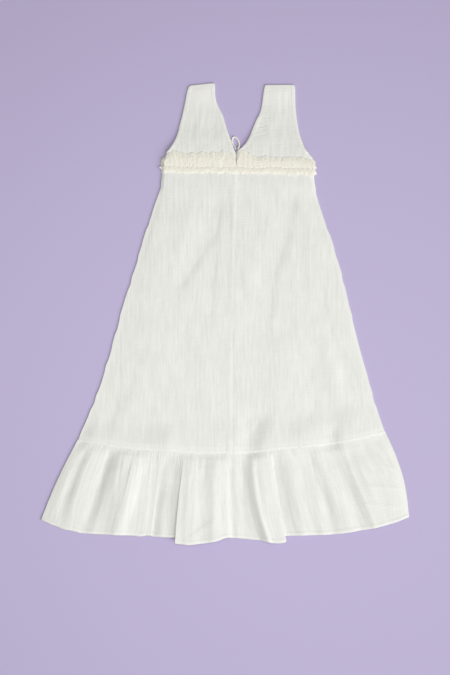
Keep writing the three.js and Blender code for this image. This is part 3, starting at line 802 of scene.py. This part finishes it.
def lay_back_flounce(u, v):
    v = finer_at_seam(v)
    order = u * BACK_FOLDS["order"][-1]
    seam_x = fold_value("seam_x", order)
    x = mix(seam_x, fold_value("hem_x", order), v)
    x = x + fold_value("bow", order) * np.sin(math.pi * v)
    wavy = noise(order, 0 * v, 0.8, 1, 85) * v ** 3
    y = mix(back_seam_y(seam_x) + TUCK, fold_value("hem_y", order), v) + wavy
    along, down = u * FLOUNCE_CUT_WIDTH, v * FLOUNCE_DEPTH
    side, from_hem = np.minimum(u, 1 - u), FLOUNCE_DEPTH - down
    z = back_middle(x, y) + flounce_seam_rise(x, y, side) + fold_relief(order, v)
    z = z + crease_height(x, y, FLOUNCE_CREASES)
    across = (seam_x - BACK_SEAM["x"][0]) / (BACK_SEAM["x"][-1] - BACK_SEAM["x"][0])
    hanging = back_middle(x, y) + skirt_relief(x, y, across) - HANGING_DEPTH
    z = mix(hanging, z, ramp(down, TUCK, TUCK + TUCK_FADE))
    z = z + flounce_gathers(along, down) * mix(SIDE_GATHERS, 1, ramp(side, 0, 0.12))
    z = z + crinkle(along, down, 81) + turned_edge(from_hem, along, 83)
    z = np.maximum(z, back_middle(x, y) - LAYER_SINK)
    from_side = side * FLOUNCE_CUT_WIDTH
    doubled = np.maximum(turned_share(from_hem), turned_share(from_side))
    return x, y, meet_at_side(z, from_side, True), doubled


def flounce_grain(u, v):
    return u * FLOUNCE_CUT_WIDTH, v * FLOUNCE_DEPTH


def lay_front_flounce(u, v):
    seam_x = mix(FRONT_SEAM["x"][0], FRONT_SEAM["x"][-1], u)
    hem_x = mix(FRONT_HEM["x"][0], FRONT_HEM["x"][-1], u)
    x = mix(seam_x, hem_x, v)
    y = mix(front_seam_y(seam_x), follow(FRONT_HEM, "x", "y", hem_x), v)
    from_hem = (1 - v) * FLOUNCE_DEPTH
    z = front_fold_height(x, y) + CLOTH / 2 + hidden_crinkle(x, y, 91)
    z = z + HIDDEN_EDGE_LIFT * inside_edge(from_hem)
    from_side = np.minimum(u, 1 - u) * FLOUNCE_CUT_WIDTH
    return x, y, meet_at_side(z, from_side, False), turned_share(from_hem)


print("the flounce is cut", FLOUNCE_CUT_WIDTH, "mm wide")

# %% [markdown]
# ## The gathered strip
# One strip is gathered along a line a third of the way down and sewn over the waist seam. Its
# head stands up as a puffy ruffle with an uneven rim, and its short side falls as a frill. The
# gathers run from the stitching to the rims, drift sideways on the way, and no two are alike.
# Their ends are rounded where the strip turns round the side of the dress.

# %% Gathers and rim of the strip
def stitch_line(x):
    """The strip is sewn on by hand-led gathering, so its stitching wanders."""
    return waist_y(x) + 1.3 * noise(x, 0 * x, 11, 1, 9)


def uneven_turn(turn):
    return 0.16 * np.sin(turn * 1.7) + 0.11 * np.sin(turn * 0.61 + 1)


def strip_folds(x, down, seed):
    """The crumpled gathers of the strip: wandering folds of three widths."""
    wander = x + 2.2 * noise(x, down, 8, 7, seed + 2)
    folds = 0.35 * pinched(wander, down, 3.8, 12, seed + 3)
    folds = folds + 0.5 * pinched(wander, down, 2.7, 4.2, seed + 4)
    return folds + 0.3 * noise(x, down, 1.9, 2.2, seed + 5)


def rim_share(x, wave, seed):
    """How far the uneven rim reaches, as a share of the strip's width there."""
    teeth = 0.1 * noise(x, 0 * x, 7, 1, seed + 6)
    return 0.92 + 0.05 * wave + teeth + 0.05 * noise(x, 0 * x, 2.6, 1, seed + 7)


print("the strip's stitching crosses the middle at y", stitch_line(np.zeros(1)))

# %% Shape of the strip on the back
FRILL_CLOTH = 0.7
SIDE_HEIGHT = 3.3
STRIP_LEFT = -111
STRIP_RIGHT = 160
BACK_STRIP = table(
    "x upper lower",
    (-114, 13, 12), (-104, 20, 12), (-92, 26, 11.5), (-40, 27, 11), (16, 28, 11), (36, 29, 11),
    (62, 20, 11.5), (138, 19, 13), (160, 13, 15),
)
STRIP_HEAD = 26
STRIP_LIFT = 0.35
UPPER_PUFF = 0.55
LOWER_PUFF = 0.35
STITCH_PINCH = 0.22
PINCH_WIDTH = 1.8
WAVE_HEIGHT = 0.3
RIM_DROP = 0.55
STRIP_DOUBLED = 0.15
RIM_DOUBLED = 0.25
BACK_CLOTH_PER_WAVE = 13
BACK_STRIP_CUT = 28


def lay_back_strip(ends, waves, is_upper, seed):
    """ends: where the strip starts and stops, and how far those move sideways at the rim."""
    from_x, from_shift, to_x, to_shift = ends
    direction = 1 if is_upper else -1
    column = "upper" if is_upper else "lower"

    def lay(u, v):
        turn = u * waves
        start = from_x + from_shift * ramp(v, 0.2, 0.9)
        end = to_x + to_shift * ramp(v, 0.2, 0.9)
        drift = 0.35 * noise(turn, v, 2.2, 0.9, seed) * v
        x = mix(start, end, (turn + (uneven_turn(turn) + drift) * np.sin(math.pi * u)) / waves)
        strength = 0.7 + 0.3 * noise(turn, 0 * v, 1.1, 1, seed + 1)
        wave = (0.5 - 0.5 * np.cos(2 * math.pi * turn)) * strength
        folds = strip_folds(x, STRIP_HEAD * v, seed)
        corner = np.minimum(np.abs(x - from_x), np.abs(to_x - x))
        reach = follow(BACK_STRIP, "x", column, x) * rim_share(x, wave, seed)
        reach = reach * mix(0.72, 1, ramp(corner, 0, 7))
        y = stitch_line(x) + direction * reach * v
        base = front_rise(x, waist_y(x)) + 2 * WALL + FRILL_CLOTH / 2
        puff = (UPPER_PUFF if is_upper else LOWER_PUFF) * np.sin(math.pi * np.clip(v, 0, 1))
        held = ramp(noise(x, 0 * v, 2.8, 1, 140), -0.5, 0.5)
        pinch = STITCH_PINCH * np.exp(-(reach * v / PINCH_WIDTH) ** 2) * held
        z = base + STRIP_LIFT + puff - pinch + (folds + WAVE_HEIGHT * wave) * mix(0.65, 0.5, v)
        z = z - RIM_DROP * ramp(v, 0.6, 1)
        from_side = np.minimum(x - STRIP_LEFT, STRIP_RIGHT - x)
        turning = mix(SIDE_HEIGHT + 0.4 * folds, z, ramp(from_side, 0, 6) ** 0.6)
        return x, y, turning, STRIP_DOUBLED + RIM_DOUBLED * ramp(v, 0.85, 0.95)

    def grain(u, v):
        return u * waves * BACK_CLOTH_PER_WAVE, v * BACK_STRIP_CUT

    return lay, grain


print("the strip runs from", STRIP_LEFT, "to", STRIP_RIGHT, "mm")

# %% Shape of the strip under the front
FRONT_STRIP = table("x upper lower", (-112, 13, 11), (-92, 25, 12), (138, 24, 12), (158, 13, 12))
FRONT_DOUBLED = 0.4
FRONT_CLOTH_PER_WAVE = 11
FRONT_STRIP_CUT = 25


def lay_front_strip(waves, is_upper):
    direction = 1 if is_upper else -1
    column = "upper" if is_upper else "lower"

    def lay(u, v):
        turn = u * waves
        share = (turn + uneven_turn(turn) * np.sin(math.pi * u)) / waves
        x = mix(FRONT_STRIP["x"][0], FRONT_STRIP["x"][-1], share)
        wave = 0.5 - 0.5 * np.cos(2 * math.pi * turn)
        reach = follow(FRONT_STRIP, "x", column, x) * (0.96 + 0.05 * wave)
        y = waist_y(x) + direction * (SEAM_GAP / 2 + reach * v)
        z = FRILL_CLOTH / 2 + wave * (STRIP_PRESSED - FRILL_CLOTH) * mix(0.6, 1, v)
        return x, y, z, FRONT_DOUBLED

    def grain(u, v):
        return u * waves * FRONT_CLOTH_PER_WAVE, v * FRONT_STRIP_CUT

    return lay, grain


print("the strip is pressed to", STRIP_PRESSED, "mm under the dress")

# %% [markdown]
# ## Double gauze
# The cloth is muslin of two thin layers, woven together at small points and then washed, so it
# crinkles: long fine ripples with the grain, and a faint grid where the layers are joined. The
# eye sees soft matt white with streaks. A bump pattern in metres of cloth gives the ripples, the
# grid and the threads. The colour is a little darker in the hollows of the ripples, which is
# painted shade, and varies in random patches; it is whiter where an edge is turned and less shines
# through. Real threads are 0.4 mm apart, too fine for a picture of the whole dress, so they are
# drawn at 1.1 mm.

# %% Material helpers
def linear_colour(code):
    """An sRGB hex colour as the linear values that the shader takes."""
    channels = [int(code[i:i + 2], 16) / 255 for i in (1, 3, 5)]
    return [c / 12.92 if c <= 0.04045 else ((c + 0.055) / 1.055) ** 2.4 for c in channels] + [1]


def add_node(tree, kind, settings=None, inputs=None):
    """Adds a node, sets its properties, and fills its sockets with values or other sockets."""
    node = tree.nodes.new(kind)
    for name, value in (settings or {}).items():
        setattr(node, name, value)
    for name, value in (inputs or {}).items():
        if isinstance(value, bpy.types.NodeSocket):
            tree.links.new(value, node.inputs[name])
        else:
            node.inputs[name].default_value = value
    return node


# %% Patterns of the weave
BAND_SCALE = 0.314


def weave_tools(tree):
    """Patterns on the cloth's own map, with sizes in millimetres, and a way to add them up."""
    cloth = add_node(tree, "ShaderNodeUVMap", {"uv_map": "cloth"}).outputs["UV"]

    def scaled(step_x, step_y):
        scale = (1 / (step_x * MM), 1 / (step_y * MM), 1)
        mapping = add_node(tree, "ShaderNodeMapping", None, {"Vector": cloth, "Scale": scale})
        return mapping.outputs["Vector"]

    def patches(size, detail):
        return add_node(tree, "ShaderNodeTexNoise", None, {
            "Vector": scaled(*size), "Scale": 1.0, "Detail": detail, "Roughness": 0.6,
        }).outputs[0]

    def lines(direction, spacing):
        """Soft bands across a direction. At BAND_SCALE the wave repeats once for each unit."""
        look = {"wave_type": "BANDS", "bands_direction": direction, "wave_profile": "SIN"}
        return add_node(tree, "ShaderNodeTexWave", look, {
            "Vector": scaled(spacing, spacing), "Scale": BAND_SCALE, "Distortion": 1.2,
            "Detail": 1.0, "Detail Scale": 0.4,
        }).outputs["Fac"]

    def plus(first, second, share):
        return add_node(tree, "ShaderNodeMath", {"operation": "MULTIPLY_ADD"},
                        {0: second, 1: share, 2: first}).outputs[0]

    return patches, lines, plus


print("band scale:", BAND_SCALE)

# %% Double gauze material
RIPPLE_SIZE = (4.2, 44)
CROSS_RIPPLE_SIZE = (18, 3.6)
CROSS_RIPPLE_SHARE = 0.6
GRID_SPACING = 5.2
GRID_ALONG_SHARE = 0.07
GRID_ACROSS_SHARE = 0.16
THREAD_SPACING = 1.1
THREAD_SHARE = 0.05
COLOUR_PATCH_SIZE = (26, 40)
COLOUR_PATCH_SHARE = 0.5
BUMP_STRENGTH = 0.5


def double_gauze(name, light, dark, turned, ripple_depth):
    """Washed cotton of two layers: painted shade in ripple hollows, colour patches, whiter turned
    edges.
    """
    material = bpy.data.materials.new(name)
    material.use_nodes = True
    tree = material.node_tree
    tree.nodes.clear()
    patches, lines, plus = weave_tools(tree)

    def blend(first, second, share):
        mixer = add_node(tree, "ShaderNodeMix", {"data_type": "RGBA"},
                         {0: share, 6: first, 7: second})
        return mixer.outputs[2]

    ripples = patches(RIPPLE_SIZE, 3.0)
    height = plus(ripples, patches(CROSS_RIPPLE_SIZE, 2.0), CROSS_RIPPLE_SHARE)
    height = plus(height, lines("X", GRID_SPACING), GRID_ALONG_SHARE)
    height = plus(height, lines("Y", GRID_SPACING), GRID_ACROSS_SHARE)
    height = plus(height, lines("X", THREAD_SPACING), THREAD_SHARE)
    height = plus(height, lines("Y", THREAD_SPACING), THREAD_SHARE)
    bump = add_node(tree, "ShaderNodeBump", None, {
        "Height": height, "Distance": ripple_depth * MM, "Strength": BUMP_STRENGTH,
    }).outputs["Normal"]
    # Where the bump's ripples are low the colour goes darker, which is painted shade in their
    # hollows, with random colour patches over it.
    ripple_shade_and_patches = plus(ripples, patches(COLOUR_PATCH_SIZE, 2.0), COLOUR_PATCH_SHARE)
    ripple_shade_factor = add_node(tree, "ShaderNodeMapRange", None, {
        "Value": ripple_shade_and_patches, "From Min": 0.45, "From Max": 0.95,
    }).outputs["Result"]
    doubled = add_node(tree, "ShaderNodeAttribute", {"attribute_name": "doubled"}).outputs["Fac"]
    colour = blend(linear_colour(dark), linear_colour(light), ripple_shade_factor)
    colour = blend(colour, linear_colour(turned), doubled)
    shader = add_node(tree, "ShaderNodeBsdfPrincipled", None, {
        "Base Color": colour, "Roughness": 0.92, "IOR": 1.45, "Specular IOR Level": 0.25,
        "Sheen Weight": 0.12, "Sheen Roughness": 0.6, "Normal": bump,
    })
    add_node(tree, "ShaderNodeOutputMaterial", None, {"Surface": shader.outputs["BSDF"]})
    return material


body_gauze = double_gauze("double_gauze_body", "#f0f0ea", "#e3e4de", "#f6f5f0", 0.8)
frill_gauze = double_gauze("double_gauze_frill", "#f5f2e6", "#eae6d4", "#faf8ee", 0.6)
print("materials:", body_gauze.name, frill_gauze.name)

# %% Plain finish
def plain_finish(name, colour, roughness):
    """A matt finish with no pattern, for what is too small or too smooth to show one."""
    material = bpy.data.materials.new(name)
    material.use_nodes = True
    shader = material.node_tree.nodes["Principled BSDF"]
    shader.inputs["Base Color"].default_value = linear_colour(colour)
    shader.inputs["Roughness"].default_value = roughness
    return material


thread = plain_finish("cotton_thread", "#e3e3db", 0.8)
print("thread:", thread.name)

# %% [markdown]
# ## Making the pieces
# Every shell now takes its place and its material, hangs on the root and hides the model's piece
# that it stands for. Flat sizes are those of the cut piece: the width at its widest and the length
# on the grain, with the true area where the piece isn't a rectangle.

# %% Front pieces, under the dress
BODICE_AREA = 14500
for is_upper, waves, node, flat in (
    (True, 31, "front_frill_upper", (330, 25)),
    (False, 34, "front_frill_lower", (330, 13)),
):
    lay, grain = lay_front_strip(waves, is_upper)
    strip = cloth_shell("cloth_" + node, waves * 10, 8, lay, grain, FRILL_CLOTH)
    strip.data.materials.append(frill_gauze)
    declare(strip, node)

for edges, side, seed in ((BODICE_LEFT, "left", 21), (BODICE_RIGHT, "right", 22)):
    lay = lay_bodice(edges, False, seed)
    half = cloth_shell("cloth_front_bodice_" + side, 44, 60, lay, floor_grain(lay))
    half.data.materials.append(body_gauze)
    declare(half, "front_bodice_" + side,
            area=BODICE_AREA)

front_skirt = cloth_shell("cloth_front_skirt", 110, 100, lay_front_skirt,
                          floor_grain(lay_front_skirt))
front_skirt.data.materials.append(body_gauze)
declare(front_skirt, "front_skirt",
        area=220000)
front_flounce = cloth_shell("cloth_front_flounce", 240, 40, lay_front_flounce, flounce_grain)
front_flounce.data.materials.append(body_gauze)
declare(front_flounce, "front_flounce")

# %% Back pieces, which the camera sees
BACK_BODICE_SEEDS = {"left": 31, "right": 32}
for side, flat, area in (("left", (280, 500), 112000), ("right", (275, 500), 110000)):
    lay = lay_back_skirt(side == "left")
    panel = cloth_shell("cloth_back_skirt_" + side, 190, 200, lay, floor_grain(lay))
    panel.data.materials.append(body_gauze)
    declare(panel, "back_skirt_" + side, area=area)

for edges, side in ((BODICE_LEFT, "left"), (BODICE_RIGHT, "right")):
    lay = lay_bodice(edges, True, BACK_BODICE_SEEDS[side])
    half = cloth_shell("cloth_back_bodice_" + side, 90, 110, lay, floor_grain(lay))
    half.data.materials.append(body_gauze)
    declare(half, "back_bodice_" + side,
            area=BODICE_AREA)

back_flounce = cloth_shell("cloth_back_flounce", 527, 90, lay_back_flounce, flounce_grain)
back_flounce.data.materials.append(body_gauze)
declare(back_flounce, "back_flounce")

# %% The gathered strip on the back
SLIT_LEFT = 19.4
SLIT_RIGHT = 19.8
SKIRT_PANELS = ["back_skirt_left", "back_skirt_right"]
for node, ends, waves, flat, seed, below in (
    ("back_frill_upper_left", (-107, -3, SLIT_LEFT, -1.4), 15, (160, 26), 101,
     ["back_bodice_left"]),
    ("back_frill_upper_right", (SLIT_RIGHT, 1.4, 160, -4), 16, (165, 22), 111,
     ["back_bodice_right"]),
    ("back_frill_lower", (-115, 6, 157, 4), 34, (300, 13), 121, SKIRT_PANELS),
):
    is_upper = "upper" in node
    lay, grain = lay_back_strip(ends, waves, is_upper, seed)
    rows = 30 if is_upper else 18
    strip = cloth_shell("cloth_" + node, waves * 24, rows, lay, grain, FRILL_CLOTH)
    strip.data.materials.append(frill_gauze)
    declare(strip, node)

# %% [markdown]
# ## Stitches
# The turned edges and seams that show are held by rows of lockstitches of white cotton, 2.5 mm
# apart. Each stitch is a small flat bar, made by an operator and turned along the row, and the
# rows lie on the cloth because they ask the pieces' own functions for their places.

# %% Rows of stitches
STITCH_STEP = 2.5
STITCH_LENGTH = 1.7
THREAD_WIDTH = 0.4
THREAD_HEIGHT = 0.16


def sew_row(bm, lay, u, v):
    """Adds the stitches of one row, along the places u and v of a piece's own shape."""
    x, y, z, doubled = lay(u, v)
    path = np.stack((x, y, z + (CLOTH / 2 + THREAD_HEIGHT / 3)), axis=1)
    along = np.append(0, np.cumsum(np.linalg.norm(np.diff(path, axis=0), axis=1)))
    bar = Matrix.Diagonal((STITCH_LENGTH * MM, THREAD_WIDTH * MM, THREAD_HEIGHT * MM, 1))
    for start in np.arange(0, along[-1] - STITCH_LENGTH, STITCH_STEP):
        first, last = (Vector([np.interp(place, along, path[:, axis]) for axis in range(3)])
                       for place in (start, start + STITCH_LENGTH))
        turn = (last - first).to_track_quat("X", "Z").to_matrix().to_4x4()
        middle = Matrix.Translation((first + last) / 2 * MM)
        bmesh.ops.create_cube(bm, size=1, matrix=middle @ turn @ bar)


print("a stitch is", STITCH_LENGTH, "mm long")

# %% Sewing the rows
EDGE_ROW = 6
SKIRT_BOTTOM_ROW = 0.991
CENTRE_SEAM_ROW = 0.975
BODICE_ROW_ENDS = (0.24, 0.97)


def bodice_row(edges, at_neck):
    """Places across and along a bodice half for a row beside its neck or its armhole."""
    v = np.linspace(*BODICE_ROW_ENDS, 240)
    level = mix(waist_y(edges["arm"][0]) + SEAM_GAP / 2, edges["y"][-1], v)
    width = np.abs(follow(edges, "y", "neck", level) - follow(edges, "y", "arm", level))
    across = 1 - EDGE_ROW / width if at_neck else EDGE_ROW / width
    return (across if edges["arm"][0] < edges["neck"][0] else 1 - across), v


sewing = bmesh.new()
line = np.linspace(0, 1, 900)
hem_row = np.interp(1 - EDGE_ROW / FLOUNCE_DEPTH, finer_at_seam(line), line)
sew_row(sewing, lay_back_flounce, line, hem_row + 0 * line)
for is_left in (True, False):
    sew_row(sewing, lay_back_skirt(is_left), line, SKIRT_BOTTOM_ROW + 0 * line)
sew_row(sewing, lay_back_skirt(True), CENTRE_SEAM_ROW + 0 * line, np.linspace(0.03, 0.99, 900))
for edges, side in ((BODICE_LEFT, "left"), (BODICE_RIGHT, "right")):
    for at_neck in (True, False):
        u, v = bodice_row(edges, at_neck)
        sew_row(sewing, lay_bodice(edges, True, BACK_BODICE_SEEDS[side]), u, v)
sewing_data = bpy.data.meshes.new("cotton_stitches")
sewing.to_mesh(sewing_data)
sewing.free()
stitches = link_object("cotton_stitches", sewing_data)
sewing_data.materials.append(thread)
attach(stitches, "root")
print("faces in the stitches:", len(sewing_data.polygons))

# %% [markdown]
# ## Finish of the loop
# The loop is a sewn tube of the same cotton, too thin for its weave to show, so it only needs a
# plain matt creamy white.

# %% Finish of the loop
loop_curve.materials.append(plain_finish("loop_cotton", "#f4f2e8", 0.9))
print("loop finish:", loop_curve.materials[0].name)

# %% [markdown]
# ## Floor and light
# The dress lies on plain lilac paper. A large soft window, low on the right and towards the hem,
# gives the bright right side of each fold and the soft shadow on its left. A small soft light
# overhead brightens the middle of the paper, and pale light from all round fills the shadows.

# %% Floor
FLOOR_SIZE = 1.8
floor_mesh = bmesh.new()
bmesh.ops.create_grid(floor_mesh, x_segments=1, y_segments=1, size=FLOOR_SIZE / 2)
floor_data = bpy.data.meshes.new("paper_floor")
floor_mesh.to_mesh(floor_data)
floor_mesh.free()
floor = link_object("paper_floor", floor_data)
paper = plain_finish("lilac_paper", "#c2b7d8", 0.85)
paper.node_tree.nodes["Principled BSDF"].inputs["Specular IOR Level"].default_value = 0.2
floor_data.materials.append(paper)
print("the floor is", FLOOR_SIZE, "m wide")

# %% Light
ROOM_LIGHT = 0.19
WINDOW_PLACE = Vector((4.85, -3.3, 3.95))
WINDOW_AIM = Vector((0.05, -0.05, 0))
WINDOW_SIZE = 5.6
WINDOW_POWER = 414
CEILING_PLACE = Vector((-0.05, -0.14, 1.5))
CEILING_SIZE = 0.9
CEILING_POWER = 9.9


def soft_light(name, place, aim, size, power):
    """A square light that faces its aim and that the camera doesn't see."""
    light = bpy.data.lights.new(name, "AREA")
    light.shape = "SQUARE"
    light.size = size
    light.energy = power
    lamp = link_object(name, light)
    lamp.location = place
    lamp.rotation_euler = (aim - place).to_track_quat("-Z", "Y").to_euler()
    lamp.visible_camera = False


world = bpy.data.worlds.new("pale_room")
bpy.context.scene.world = world
world.use_nodes = True
world.node_tree.nodes["Background"].inputs["Color"].default_value = (1, 1, 1, 1)
world.node_tree.nodes["Background"].inputs["Strength"].default_value = ROOM_LIGHT
soft_light("window_light", WINDOW_PLACE, WINDOW_AIM, WINDOW_SIZE, WINDOW_POWER)
soft_light("ceiling_light", CEILING_PLACE, Vector((CEILING_PLACE.x, CEILING_PLACE.y, 0)),
           CEILING_SIZE, CEILING_POWER)
bpy.context.scene.view_settings.view_transform = "Standard"
print("lights:", len(bpy.data.lights))
